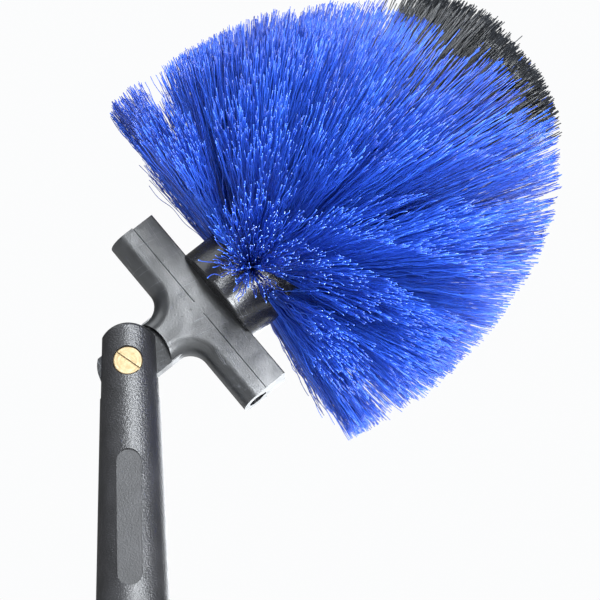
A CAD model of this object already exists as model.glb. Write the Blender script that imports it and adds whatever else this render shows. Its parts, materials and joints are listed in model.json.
import json
import math
from collections import namedtuple

import bpy
import numpy as np
from mathutils import Matrix, Vector


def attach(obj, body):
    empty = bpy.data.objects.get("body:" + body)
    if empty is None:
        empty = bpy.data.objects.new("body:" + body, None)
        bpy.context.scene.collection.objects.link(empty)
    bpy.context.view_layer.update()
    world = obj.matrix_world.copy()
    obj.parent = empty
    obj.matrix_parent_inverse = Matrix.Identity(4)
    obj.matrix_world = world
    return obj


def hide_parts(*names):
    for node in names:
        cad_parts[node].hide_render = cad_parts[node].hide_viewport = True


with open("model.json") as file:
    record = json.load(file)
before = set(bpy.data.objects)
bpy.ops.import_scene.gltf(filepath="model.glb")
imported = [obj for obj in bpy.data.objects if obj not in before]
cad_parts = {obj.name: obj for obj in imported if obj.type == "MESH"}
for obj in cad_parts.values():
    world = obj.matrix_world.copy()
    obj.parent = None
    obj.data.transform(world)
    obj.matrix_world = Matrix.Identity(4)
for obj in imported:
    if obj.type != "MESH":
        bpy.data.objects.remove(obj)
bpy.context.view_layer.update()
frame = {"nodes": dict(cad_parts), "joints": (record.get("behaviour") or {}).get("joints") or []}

# Everything is in metres, in the CAD frame: the pole socket's mouth is the origin and +Z runs up the
# handle. The head frame has its origin on the pivot and its own +Z out along the head.
MM = 0.001
PIVOT = Vector(frame["joints"][0]["pos_m"])
REST_TILT = math.radians(52.5)
HEAD = Matrix.Translation(PIVOT) @ Matrix.Rotation(REST_TILT, 4, "Y")

# Camera: in front of the handle and below the brush, looking up, and turned a little about its own axis
AIM = Vector((0.0856, 0.0, 0.1755))
CAMERA_ELEVATION = math.radians(-15.5)
CAMERA_ROLL = math.radians(1.9)
CAMERA_DISTANCE = 1.2
CAMERA_LENS = 144.0

# Room
ROOM_COLOUR = (0.97, 0.975, 0.98, 1)
ROOM_LIGHT = 0.14  # how brightly the room lights the object, where it looks as bright as 1
FLOOR_Z = -0.25
FLOOR_RADIUS = 6.0
FLOOR_COLOUR = (0.9, 0.9, 0.9, 1)
FLOOR_GLOW_COLOUR = (0.97, 0.985, 1, 1)
FLOOR_GLOW = (0.5, 2.5, 0.1, 0.5)  # near and far distances, then the glow at each
LAMP_COLOUR = (0.92, 0.96, 1.0)
# Each lamp, which points at AIM: name, place, size in metres and power in watts
LAMPS = [
    ("key", (0.40, -1.35, 0.44), 0.6, 40),
    ("top_left", (-0.7, -0.5, 1.1), 0.8, 6),
    ("low_right", (0.55, -0.6, -0.18), 0.25, 9),
    ("back", (0.5, 1.4, 0.8), 1.0, 12),
    ("back_right", (0.5, 1.35, 0.05), 0.6, 5),
]

# Colours, each from its dark to its light tone
NYLON_TONES = ((0.010, 0.010, 0.011), (0.022, 0.022, 0.024))
HEAD_TONES = ((0.003, 0.0035, 0.004), (0.010, 0.011, 0.013))
CORE_TONES = ((0.006, 0.006, 0.007), (0.012, 0.012, 0.014))
FIBRE_TONES = ((0.35, 0.32, 0.25), (0.5, 0.46, 0.38))
BRASS_TONES = ((0.31, 0.235, 0.125), (0.44, 0.345, 0.22))
STEEL_TONES = ((0.5, 0.5, 0.5), (0.7, 0.7, 0.69))
SCUFF_TONE = (0.22, 0.23, 0.25)
FILAMENT_TONES = {
    "blue": ((0.005, 0.015, 0.17), (0.021, 0.080, 0.54), (0.052, 0.185, 0.90)),
    "black": ((0.005, 0.006, 0.008), (0.02, 0.022, 0.026)),
}
TIP_TONE = {"blue": (0.16, 0.32, 0.88), "black": (0.06, 0.06, 0.065)}

# Handle
PAD_CENTRE_Z = 66.0 * MM
PAD_HALF_LENGTH = 33.5 * MM
PAD_HALF_WIDTH = 6.0 * MM
GRAIN_SIZE = 0.8 * MM
GRAIN_HEIGHT = 0.16 * MM
PAD_GRAIN = 0.35  # the share of the grain's height that is left on the pad

# Wear and mould marks on the smooth plastic
SWIVEL_RADIUS = 21.2 * MM  # the part round the pivot that has been rubbed dull
DULL_SHARE = 0.3
SCUFF_SHARE = 0.4
SCUFF_DEPTH = 0.04 * MM
SCRATCH_LENGTH = 30.0 * MM
SCRATCH_WIDTH = 0.35 * MM
SCRATCH_TURNS = (25, -60)
SPECKLE_SIZE = 2.2 * MM
SPECKLE_STRENGTH = 0.35
SINK_SIZE = 30.0 * MM
SINK_DEPTH = 1.2 * MM
SKIN_SIZE = 0.9 * MM
SKIN_HEIGHT = 0.06 * MM

# Turning rings on the brass
RING_SPACING = 6.0 * MM
RING_HEIGHT = 0.03 * MM

# Brush. STRIP_FRONT is measured along the head axis from the pivot, and everything else along that
# axis from the strip's front face.
STRIP_FRONT = 56.5 * MM
CORE_RADIUS = 26.5 * MM
DOME_CENTRE = 20.0 * MM
TRIM_RADIUS = 108.0 * MM
TRIM_DOME_CENTRE = 45.0 * MM
TRIM_APEX = 203.0 * MM
TRIM_SHIFT = -3.0 * MM
TRIM_LEAN = 0.045  # the trimmed dome leans this much towards +X

# along is how far along the core a row's roots are, lean is its angle from the head axis and
# first_turn the azimuth of its first tuft, in degrees. spread is how far the filaments of a tuft
# open round the row and across it, as tangents.
Row = namedtuple("Row", "colour along lean tufts first_turn filaments spread")
ROWS = [
    Row("blue", 19.0 * MM, 91.0, 8, 8.0, 290, (0.38, 0.10)),
    Row("blue", 28.5 * MM, 72.5, 8, 30.5, 400, (0.34, 0.22)),
    Row("blue", 36.0 * MM, 55.0, 8, 8.0, 470, (0.33, 0.27)),
    Row("blue", 42.5 * MM, 31.0, 6, 30.0, 540, (0.33, 0.28)),
    Row("black", 45.8 * MM, 9.5, 3, 60.0, 850, (0.17, 0.15)),
]
THIN_TURN = 32.0  # tufts this near the front, in degrees of azimuth, are thinner by THIN_SHARE
THIN_SHARE = 0.3
# One tuft, given by its row and its number in it, has sprung open all round
WHORL = (1, 1)
WHORL_SPREAD = (0.30, 0.30)
WHORL_COUNT = 330

# Filaments
FILAMENT_RADIUS = {"blue": 0.21 * MM, "black": 0.30 * MM}
EXTRA_LENGTH = {"blue": 0.0, "black": 3.5 * MM}
SWEEP = 0.07  # bristles on +X are pushed back and those on -X forward, by use
BACK_LIFT = 0.31  # bristles on +Y are pushed forward
TIP_PUSH = 0.14  # bristles near the head axis are pushed towards -X
SIDE_LIMIT = 0.06  # how far bristles at the sides may lean back, as a tangent
FRONT_LIMIT = 1.2  # how much further those that face the front may, past FRONT_FACING
FRONT_FACING = 0.6
# Where the front of the brush has parted: degrees from the head axis, and how far, in radians
PARTINGS = ((25.0, 0.09), (52.0, 0.11))
PARTING_WIDTH = 0.14
PARTING_CENTRE = 15.0 * MM
ROOT_RADIUS = 3.2 * MM
ROOT_DEPTH = 3.0 * MM
BEND = 0.05  # a filament's bow between the tuft's direction and its own, as a share of its length
BEND_RATE = 9.0  # how soon after the root it begins
CRIMP_LENGTHS = (18, 36)  # of one wave, in mm
CRIMP_SIZES = (0.15, 0.8)  # in mm
STRAND_SIZE = 10  # filaments that cling together as a strand
STRAND_PULL = 0.42
STRAND_UNEVEN = 1.5 * MM  # how unevenly strands, single filaments and whole tufts are cut
FILAMENT_UNEVEN = 1.7 * MM
TUFT_UNEVEN = 0.03
STRAND_TONE = 0.55  # the share of a filament's tone that it has from its strand
STRAY_SHARE = 0.03
STRAY_LEAN = 1.7
FILAMENT_JITTER = 0.04
TUFT_JITTER = 0.035
SIDES = 4
STEPS = 22
SEED = 7


def camera_and_light():
    scene = bpy.context.scene
    camera = bpy.data.objects.new("camera", bpy.data.cameras.new("camera"))
    camera.data.lens = CAMERA_LENS
    camera.data.clip_end = 20
    back = Vector((0, -math.cos(CAMERA_ELEVATION), math.sin(CAMERA_ELEVATION)))
    camera.location = AIM + back * CAMERA_DISTANCE
    turn = (-back).to_track_quat("-Z", "Y").to_matrix() @ Matrix.Rotation(-CAMERA_ROLL, 3, "Z")
    camera.rotation_euler = turn.to_euler()
    scene.collection.objects.link(camera)
    scene.camera = camera
    for lamp in LAMPS:
        area_light(*lamp)
    scene.world = studio_world()
    scene.view_settings.view_transform = "Standard"


def studio_world():
    """A white room behind the object, which lights it less brightly than it looks."""
    world = bpy.data.worlds.new("studio")
    world.use_nodes = True
    nodes, links = world.node_tree.nodes, world.node_tree.links
    background = nodes["Background"]
    background.inputs["Color"].default_value = ROOM_COLOUR
    seen = nodes.new("ShaderNodeLightPath")
    strength = nodes.new("ShaderNodeMapRange")
    strength.inputs["To Min"].default_value = ROOM_LIGHT
    strength.inputs["To Max"].default_value = 1.0
    links.new(seen.outputs["Is Camera Ray"], strength.inputs["Value"])
    links.new(strength.outputs["Result"], background.inputs["Strength"])
    return world


def area_light(name, place, size, power):
    light = bpy.data.lights.new(name, "AREA")
    light.size = size
    light.energy = power
    light.color = LAMP_COLOUR
    lamp = bpy.data.objects.new(name, light)
    lamp.location = place
    lamp.rotation_euler = (AIM - Vector(place)).to_track_quat("-Z", "Y").to_euler()
    bpy.context.scene.collection.objects.link(lamp)


def floor():
    place = (0, 0, FLOOR_Z)
    bpy.ops.mesh.primitive_circle_add(vertices=96, radius=FLOOR_RADIUS, fill_type="NGON", location=place)
    disc = bpy.context.object
    disc.name = "floor"
    material, shader = new_material("floor_paint")
    shader.inputs["Base Color"].default_value = FLOOR_COLOUR
    shader.inputs["Roughness"].default_value = 0.8
    shader.inputs["Emission Color"].default_value = FLOOR_GLOW_COLOUR
    distance = add_node(material, "ShaderNodeVectorMath", operation="LENGTH")
    link(material, object_place(material), distance.inputs[0])
    glow = add_node(material, "ShaderNodeMapRange")
    for socket, value in zip(("From Min", "From Max", "To Min", "To Max"), FLOOR_GLOW):
        glow.inputs[socket].default_value = value
    link(material, distance.outputs["Value"], glow.inputs["Value"])
    link(material, glow.outputs["Result"], shader.inputs["Emission Strength"])
    disc.data.materials.append(material)


def new_material(name):
    material = bpy.data.materials.new(name)
    material.use_nodes = True
    return material, material.node_tree.nodes["Principled BSDF"]


def add_node(material, kind, **values):
    """A new node, with its properties or its inputs set by name."""
    node = material.node_tree.nodes.new(kind)
    for name, value in values.items():
        label = name.replace("_", " ").title()
        if label in node.inputs:
            node.inputs[label].default_value = value
        else:
            setattr(node, name, value)
    return node


def link(material, source, target):
    material.node_tree.links.new(source, target)


def ramp(material, factor, stops):
    """A colour ramp from (position, colour) stops."""
    node = add_node(material, "ShaderNodeValToRGB")
    elements = node.color_ramp.elements
    while len(elements) < len(stops):
        elements.new(0.5)
    for element, (position, colour) in zip(elements, stops):
        element.position = position
        element.color = (*colour, 1)
    link(material, factor, node.inputs["Fac"])
    return node.outputs["Color"]


def mixed(material, factor, under, over):
    """A colour output, mixed with a fixed colour."""
    node = add_node(material, "ShaderNodeMix", data_type="RGBA")
    link(material, factor, node.inputs["Factor"])
    link(material, under, node.inputs[6])  # the colour sockets A and B are 6 and 7, and the result is 2
    node.inputs[7].default_value = (*over, 1)
    return node.outputs[2]


def object_place(material):
    return add_node(material, "ShaderNodeTexCoord").outputs["Object"]


def noise(material, size, detail=2.0, roughness=0.5):
    """Noise with patches of a size in metres."""
    place = add_node(material, "ShaderNodeMapping", scale=(1 / size,) * 3)
    link(material, object_place(material), place.inputs["Vector"])
    node = add_node(material, "ShaderNodeTexNoise", scale=1.0, detail=detail, roughness=roughness)
    link(material, place.outputs["Vector"], node.inputs["Vector"])
    return node.outputs["Fac"]


def slow_tone(material, size, detail, colours):
    """Slow variation between a dark and a light colour."""
    dark, light = colours
    return ramp(material, noise(material, size, detail), [(0.3, dark), (0.7, light)])


def bump(material, height, distance, below=None):
    node = add_node(material, "ShaderNodeBump", strength=1.0, distance=distance)
    link(material, height, node.inputs["Height"])
    if below is not None:
        link(material, below, node.inputs["Normal"])
    return node.outputs["Normal"]


def patches(material, size, detail, low, high):
    """Patches of noise, as 0 to 1: 0 where the noise is under low and 1 where it is over high."""
    return ramp(material, noise(material, size, detail), [(low, (0, 0, 0)), (high, (1, 1, 1))])


def scratches(material, turn):
    """Sparse hairline scratches on faces that look along Y, as 0 to 1, at an angle in degrees."""
    turned = add_node(material, "ShaderNodeMapping", rotation=(0, math.radians(turn), 0))
    size = (1 / SCRATCH_LENGTH, 1 / SCRATCH_LENGTH, 1 / SCRATCH_WIDTH)
    stretched = add_node(material, "ShaderNodeMapping", scale=size)
    texture = add_node(material, "ShaderNodeTexNoise", scale=1.0, detail=0.0)
    link(material, object_place(material), turned.inputs["Vector"])
    link(material, turned.outputs["Vector"], stretched.inputs["Vector"])
    link(material, stretched.outputs["Vector"], texture.inputs["Vector"])
    lines = ramp(material, texture.outputs["Fac"], [(0.72, (0, 0, 0)), (0.80, (1, 1, 1))])
    return combine(material, "MULTIPLY", lines, patches(material, 12 * MM, 2, 0.48, 0.60))


def speckles(material):
    """Small rubbed spots in patches, as 0 to SPECKLE_STRENGTH."""
    grain = noise(material, SPECKLE_SIZE, 5, 0.6)
    spots = ramp(material, grain, [(0.56, (0, 0, 0)), (0.66, (SPECKLE_STRENGTH,) * 3)])
    return combine(material, "MULTIPLY", spots, patches(material, 18 * MM, 3, 0.46, 0.58))


def combine(material, operation, first, second):
    """One maths operation on two outputs, or on an output and a number."""
    node = add_node(material, "ShaderNodeMath", operation=operation)
    for socket, value in zip(node.inputs, (first, second)):
        if isinstance(value, (int, float)):
            socket.default_value = value
        else:
            link(material, value, socket)
    return node.outputs["Value"]


def scale_range(material, factor, low, high):
    """0 to 1 as low to high."""
    node = add_node(material, "ShaderNodeMapRange", to_min=low, to_max=high)
    link(material, factor, node.inputs["Value"])
    return node.outputs["Result"]


def within(material, first, second, radius):
    """1 where two offsets at right angles to each other make less than a radius, and 0 elsewhere."""
    squares = combine(
        material, "ADD",
        combine(material, "POWER", first, 2), combine(material, "POWER", second, 2),
    )
    return combine(material, "LESS_THAN", combine(material, "SQRT", squares, 0), radius)


def object_axes(material):
    """The object coordinates X, Y and Z."""
    split = add_node(material, "ShaderNodeSeparateXYZ")
    link(material, object_place(material), split.inputs["Vector"])
    return split.outputs


def pad_mask(material):
    """1 on the pad of the grip and 0 elsewhere, from the distance to the pad's middle line."""
    place = object_axes(material)
    along = combine(material, "SUBTRACT", place["Z"], PAD_CENTRE_Z)
    straight = PAD_HALF_LENGTH - PAD_HALF_WIDTH
    beyond = combine(material, "SUBTRACT", combine(material, "ABSOLUTE", along, 0), straight)
    beyond = combine(material, "MAXIMUM", beyond, 0)
    inside = within(material, beyond, place["X"], PAD_HALF_WIDTH)
    return combine(material, "MULTIPLY", inside, combine(material, "LESS_THAN", place["Y"], 0))


def swivel_mask(material):
    """1 near the pivot's axis and 0 elsewhere."""
    place = object_axes(material)
    return within(material, combine(material, "SUBTRACT", place["Z"], PIVOT.z), place["X"], SWIVEL_RADIUS)


def textured_nylon():
    """Black nylon with a pebbled skin, which is fainter on the pad sunk into the grip."""
    material, shader = new_material("textured_nylon")
    link(material, slow_tone(material, 15 * MM, 4, NYLON_TONES), shader.inputs["Base Color"])
    smooth = pad_mask(material)
    place = add_node(material, "ShaderNodeMapping", scale=(1 / GRAIN_SIZE,) * 3)
    link(material, object_place(material), place.inputs["Vector"])
    grain = add_node(material, "ShaderNodeTexVoronoi", feature="SMOOTH_F1", scale=1.0)
    link(material, place.outputs["Vector"], grain.inputs["Vector"])
    height = combine(material, "ADD", grain.outputs["Distance"], noise(material, GRAIN_SIZE / 2, 3))
    height = combine(material, "MULTIPLY", height, scale_range(material, smooth, 1.0, PAD_GRAIN))
    link(material, bump(material, height, GRAIN_HEIGHT), shader.inputs["Normal"])
    worn = scale_range(material, noise(material, 8 * MM, 5), 0.28, 0.40)
    worn = combine(material, "ADD", worn, combine(material, "MULTIPLY", smooth, 0.12))
    link(material, worn, shader.inputs["Roughness"])
    link(material, scale_range(material, smooth, 0.75, 0.5), shader.inputs["Specular IOR Level"])
    return material


def moulded_plastic(name, colours, roughness, specular, scuffed=True):
    """Smooth moulded plastic with slow colour variation, sink marks, a faint skin and scuffs.
    It's duller round the pivot, where the tongue rubs."""
    material, shader = new_material(name)
    tone = slow_tone(material, 20 * MM, 4, colours)
    gloss = scale_range(material, noise(material, 5 * MM, 7, 0.65), roughness - 0.12, roughness + 0.16)
    normal = bump(material, noise(material, SINK_SIZE, 2), SINK_DEPTH)
    normal = bump(material, noise(material, SKIN_SIZE, 4), SKIN_HEIGHT, below=normal)
    if scuffed:
        scuffs = scuff_mask(material)
        tone = mixed(material, combine(material, "MULTIPLY", scuffs, SCUFF_SHARE), tone, SCUFF_TONE)
        normal = bump(material, scuffs, -SCUFF_DEPTH, below=normal)
    link(material, tone, shader.inputs["Base Color"])
    link(material, gloss, shader.inputs["Roughness"])
    link(material, normal, shader.inputs["Normal"])
    shine = scale_range(material, swivel_mask(material), specular, DULL_SHARE * specular)
    link(material, shine, shader.inputs["Specular IOR Level"])
    return material


def scuff_mask(material):
    """The scratches and the speckles together, as 0 to 1."""
    first, second = (scratches(material, turn) for turn in SCRATCH_TURNS)
    return combine(material, "MAXIMUM", combine(material, "MAXIMUM", first, second), speckles(material))


def brass():
    """Turned brass, a little tarnished, with fine rings about the pivot."""
    material, shader = new_material("turned_brass")
    shader.inputs["Metallic"].default_value = 1.0
    link(material, slow_tone(material, 3 * MM, 5, BRASS_TONES), shader.inputs["Base Color"])
    link(material, scale_range(material, noise(material, 2 * MM, 4), 0.52, 0.7), shader.inputs["Roughness"])
    centre = add_node(material, "ShaderNodeVectorMath", operation="SUBTRACT")
    centre.inputs[1].default_value = PIVOT
    link(material, object_place(material), centre.inputs[0])
    closer = add_node(material, "ShaderNodeVectorMath", operation="SCALE", scale=1 / RING_SPACING)
    link(material, centre.outputs["Vector"], closer.inputs[0])
    rings = add_node(
        material, "ShaderNodeTexWave",
        wave_type="RINGS", rings_direction="Y", scale=1.0, distortion=0.6,
    )
    link(material, closer.outputs["Vector"], rings.inputs["Vector"])
    link(material, bump(material, rings.outputs["Fac"], RING_HEIGHT), shader.inputs["Normal"])
    return material


def steel():
    material, shader = new_material("plated_steel")
    shader.inputs["Metallic"].default_value = 1.0
    link(material, slow_tone(material, 3 * MM, 3, STEEL_TONES), shader.inputs["Base Color"])
    link(material, scale_range(material, noise(material, 1 * MM, 3), 0.25, 0.45), shader.inputs["Roughness"])
    return material


def filament_plastic(colour):
    """Glossy filament. The tone attribute varies from filament to filament, and the cut tips are paler."""
    material, shader = new_material(f"{colour}_filament")
    stops = FILAMENT_TONES[colour]
    tone = add_node(material, "ShaderNodeAttribute", attribute_name="tone")
    body = ramp(material, tone.outputs["Fac"], [(k / (len(stops) - 1), c) for k, c in enumerate(stops)])
    is_tip = add_node(material, "ShaderNodeAttribute", attribute_name="tip")
    body = mixed(material, is_tip.outputs["Fac"], body, TIP_TONE[colour])
    link(material, body, shader.inputs["Base Color"])
    shader.inputs["Roughness"].default_value = 0.35
    shader.inputs["Coat Weight"].default_value = 0.3
    shader.inputs["Coat Roughness"].default_value = 0.15
    return material


def tuft_frames(row):
    """For each tuft of a row, in the head frame: root, and unit vectors round the row, across it and out."""
    radius = CORE_RADIUS
    if row.along > DOME_CENTRE:
        radius = math.sqrt(CORE_RADIUS**2 - (row.along - DOME_CENTRE) ** 2)
    tilt = math.radians(row.lean)
    axis = np.array([0.0, 0.0, 1.0])
    for k in range(row.tufts):
        turn = math.radians(row.first_turn + 360 * k / row.tufts)
        side = np.array([math.sin(turn), -math.cos(turn), 0.0])
        out = side * math.sin(tilt) + axis * math.cos(tilt)
        root = side * radius + axis * (STRIP_FRONT + row.along)
        around = np.cross(axis, side)
        yield root, around, np.cross(out, around), out


def distance_to_trim(start, direction):
    """How far each ray runs from its start to the ellipsoid that the brush is trimmed to."""
    size = np.array([TRIM_RADIUS, TRIM_RADIUS, TRIM_APEX - TRIM_DOME_CENTRE])
    upright = np.array([[1, 0, 0], [0, 1, 0], [-TRIM_LEAN, 0, 1]])
    p = (start - np.array([TRIM_SHIFT, 0, STRIP_FRONT + TRIM_DOME_CENTRE])) @ upright / size
    d = direction @ upright / size
    a = (d * d).sum(1)
    b = (p * d).sum(1)
    c = (p * p).sum(1) - 1
    return (-b + np.sqrt(b * b - a * c)) / a


def swept(direction):
    """The directions, pushed by use, and with bristles at the sides kept from leaning back."""
    direction[:, 2] += BACK_LIFT * np.maximum(direction[:, 1], 0) - SWEEP * direction[:, 0]
    freedom = FRONT_LIMIT * np.maximum(-direction[:, 1] - FRONT_FACING, 0)
    direction[:, 2] = np.maximum(direction[:, 2], -SIDE_LIMIT - SWEEP * direction[:, 0] - freedom)
    direction[:, 0] -= TIP_PUSH * np.maximum(direction[:, 2], 0)
    return direction


def parted(start, direction):
    """The directions, with the tips of bristles that face the front pushed away from each parting."""
    centre = np.array([0, 0, STRIP_FRONT + PARTING_CENTRE])
    tip = start + direction * TRIM_RADIUS - centre
    angle = np.arctan2(tip[:, 0], tip[:, 2])
    radius = np.hypot(tip[:, 0], tip[:, 2])
    front = np.clip(-2 * direction[:, 1], 0, 1)
    for place, push in PARTINGS:
        away = angle - math.radians(place)
        angle += push * front * np.sign(away) * np.exp(-np.abs(away) / PARTING_WIDTH)
    tip[:, 0] = radius * np.sin(angle)
    tip[:, 2] = radius * np.cos(angle)
    return tip + centre - start


def disc_points(rng, count):
    """Random points, spread evenly over a disc of radius 1."""
    radius = np.sqrt(rng.random(count))
    angle = rng.random(count) * 2 * math.pi
    return np.stack([np.cos(angle), np.sin(angle)], 1) * radius[:, None]


def filament_paths(rng, root, around, across, out, count, spread, extra):
    """Centre lines of one tuft's filaments, as an array of filament, step and coordinate, and their tones.
    Filaments crowd to the middle of the tuft and of their strand, and a few stray outside."""
    offset = disc_points(rng, count)
    start = root + (offset[:, :1] * around + offset[:, 1:] * across) * ROOT_RADIUS - out * ROOT_DEPTH
    strands = disc_points(rng, count // STRAND_SIZE)
    nearest = np.argmin(((offset[:, None] - strands[None]) ** 2).sum(2), axis=1)
    shape = (1 - STRAND_PULL) * offset + STRAND_PULL * strands[nearest]
    stray = np.where(rng.random((count, 1)) < STRAY_SHARE, STRAY_LEAN, 1.0)
    lean = shape * stray * np.array(spread)
    lean += rng.normal(0, FILAMENT_JITTER, (count, 2))
    lean += rng.normal(0, TUFT_JITTER, 2)
    direction = parted(start, swept(out + lean[:, :1] * around + lean[:, 1:] * across))
    direction /= np.linalg.norm(direction, axis=1)[:, None]
    uneven = np.abs(rng.normal(0, STRAND_UNEVEN, len(strands)))[nearest]
    uneven = uneven + rng.exponential(FILAMENT_UNEVEN, count)
    length = distance_to_trim(start, direction) * (1 - abs(rng.normal(0, TUFT_UNEVEN))) + extra - uneven
    t = np.linspace(0, 1, STEPS)[None, :, None]
    reach = length[:, None, None]
    straight = start[:, None] + direction[:, None] * (t * reach)
    bend = (out - direction)[:, None] * (BEND * reach) * (1 - np.exp(-t * BEND_RATE)) * (1 - t)
    wave = crimp(rng, reach, around, across, t)
    tones = STRAND_TONE * rng.random(len(strands))[nearest] + (1 - STRAND_TONE) * rng.random(count)
    return straight + bend + wave, tones


def crimp(rng, reach, around, across, t):
    """The slight waviness of each filament, nothing at its root."""
    count = len(reach)
    turns = reach / (rng.uniform(*CRIMP_LENGTHS, (count, 1, 1)) * MM)
    phase = rng.random((count, 2, 1, 1)) * 2 * math.pi
    size = rng.uniform(*CRIMP_SIZES, (count, 1, 1)) * MM
    first, second = (
        np.sin(2 * math.pi * turns * t + phase[:, k]) - np.sin(phase[:, k]) for k in range(2)
    )
    return size * np.sqrt(t) * (first * around + second * across)


def tubes(name, paths, radius, tones):
    """One mesh of thin closed tubes round centre lines, with the attributes tone and tip."""
    count, steps, _ = paths.shape
    tangent = np.gradient(paths, axis=1)
    tangent /= np.linalg.norm(tangent, axis=2)[:, :, None]
    helper = np.array([0.31, 0.55, 0.77])  # any direction that no filament runs along
    normal = np.cross(tangent, helper)
    normal /= np.linalg.norm(normal, axis=2)[:, :, None]
    other = np.cross(tangent, normal)
    corner = np.arange(SIDES) * 2 * math.pi / SIDES
    ring = np.cos(corner)[:, None] * normal[:, :, None] + np.sin(corner)[:, None] * other[:, :, None]
    vertices = (paths[:, :, None] + ring * radius).reshape(-1, 3)
    vertices = vertices @ np.array(HEAD.to_3x3()).T + np.array(HEAD.translation)
    mesh = bpy.data.meshes.new(name)
    faces, is_side, is_tip = tube_faces(count, steps)
    mesh.from_pydata(vertices, [], faces)
    tone = np.repeat(tones, steps * SIDES)
    mesh.attributes.new("tone", "FLOAT", "POINT").data.foreach_set("value", tone.astype(np.float32))
    mesh.attributes.new("tip", "FLOAT", "FACE").data.foreach_set("value", is_tip)
    mesh.polygons.foreach_set("use_smooth", is_side)
    piece = bpy.data.objects.new(name, mesh)
    bpy.context.scene.collection.objects.link(piece)
    return piece


def tube_faces(count, steps):
    """Side quads and the two end caps of every tube, and for each face whether it is a side or a tip."""
    faces, is_side, is_tip = [], [], []
    for filament in range(count):
        first = filament * steps * SIDES
        for step in range(steps - 1):
            low = first + step * SIDES
            for side in range(SIDES):
                nxt = (side + 1) % SIDES
                faces.append((low + side, low + nxt, low + nxt + SIDES, low + side + SIDES))
        last = first + (steps - 1) * SIDES
        faces.append(tuple(range(last, last + SIDES)))
        faces.append(tuple(range(first + SIDES - 1, first - 1, -1)))
        sides = (steps - 1) * SIDES
        is_side += [True] * sides + [False, False]
        is_tip += [0.0] * sides + [1.0, 0.0]
    return faces, is_side, is_tip


def filament_count(row, k):
    """The filaments in tuft k of a row: fewer in the blue tufts near the front."""
    turn = (row.first_turn + 360 * (k - 1) / row.tufts + 180) % 360 - 180
    thin = THIN_SHARE if abs(turn) < THIN_TURN and row.colour == "blue" else 0.0
    return round(row.filaments * (1 - thin))


def bristles():
    materials = {colour: filament_plastic(colour) for colour in FILAMENT_TONES}
    rng = np.random.default_rng(SEED)
    for number, row in enumerate(ROWS, start=1):
        colour = row.colour
        for k, place in enumerate(tuft_frames(row), start=1):
            spread, filaments = row.spread, filament_count(row, k)
            if (number, k) == WHORL:
                spread, filaments = WHORL_SPREAD, WHORL_COUNT
            paths, tones = filament_paths(rng, *place, filaments, spread, EXTRA_LENGTH[colour])
            piece = tubes(f"{colour}_bristles_row{number}_{k}", paths, FILAMENT_RADIUS[colour], tones)
            piece.data.materials.append(materials[colour])
            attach(piece, "head")
            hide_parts(f"{colour}_tuft_row{number}_{k}")


def dress_cad_nodes():
    """A material on every CAD node. The wires, and any node not named here, are plated steel."""
    head = moulded_plastic("moulded_head", HEAD_TONES, 0.34, 1.0)
    core = moulded_plastic("core_plastic", CORE_TONES, 0.18, 0.5)
    fibre = moulded_plastic("washer_fibre", FIBRE_TONES, 0.6, 0.5, scuffed=False)
    nylon, metal, yellow = textured_nylon(), steel(), brass()
    looks = {
        "handle_socket": nylon, "swivel_head": head, "face_strip": head, "brush_core": core,
        "friction_washers": fibre, "pivot_screw": yellow, "pivot_nut": yellow, "core_screws": metal,
    }
    for name, node in frame["nodes"].items():
        material = looks.get(name, metal)
        node.data.materials.clear()
        node.data.materials.append(material)


camera_and_light()
floor()
dress_cad_nodes()
bristles()
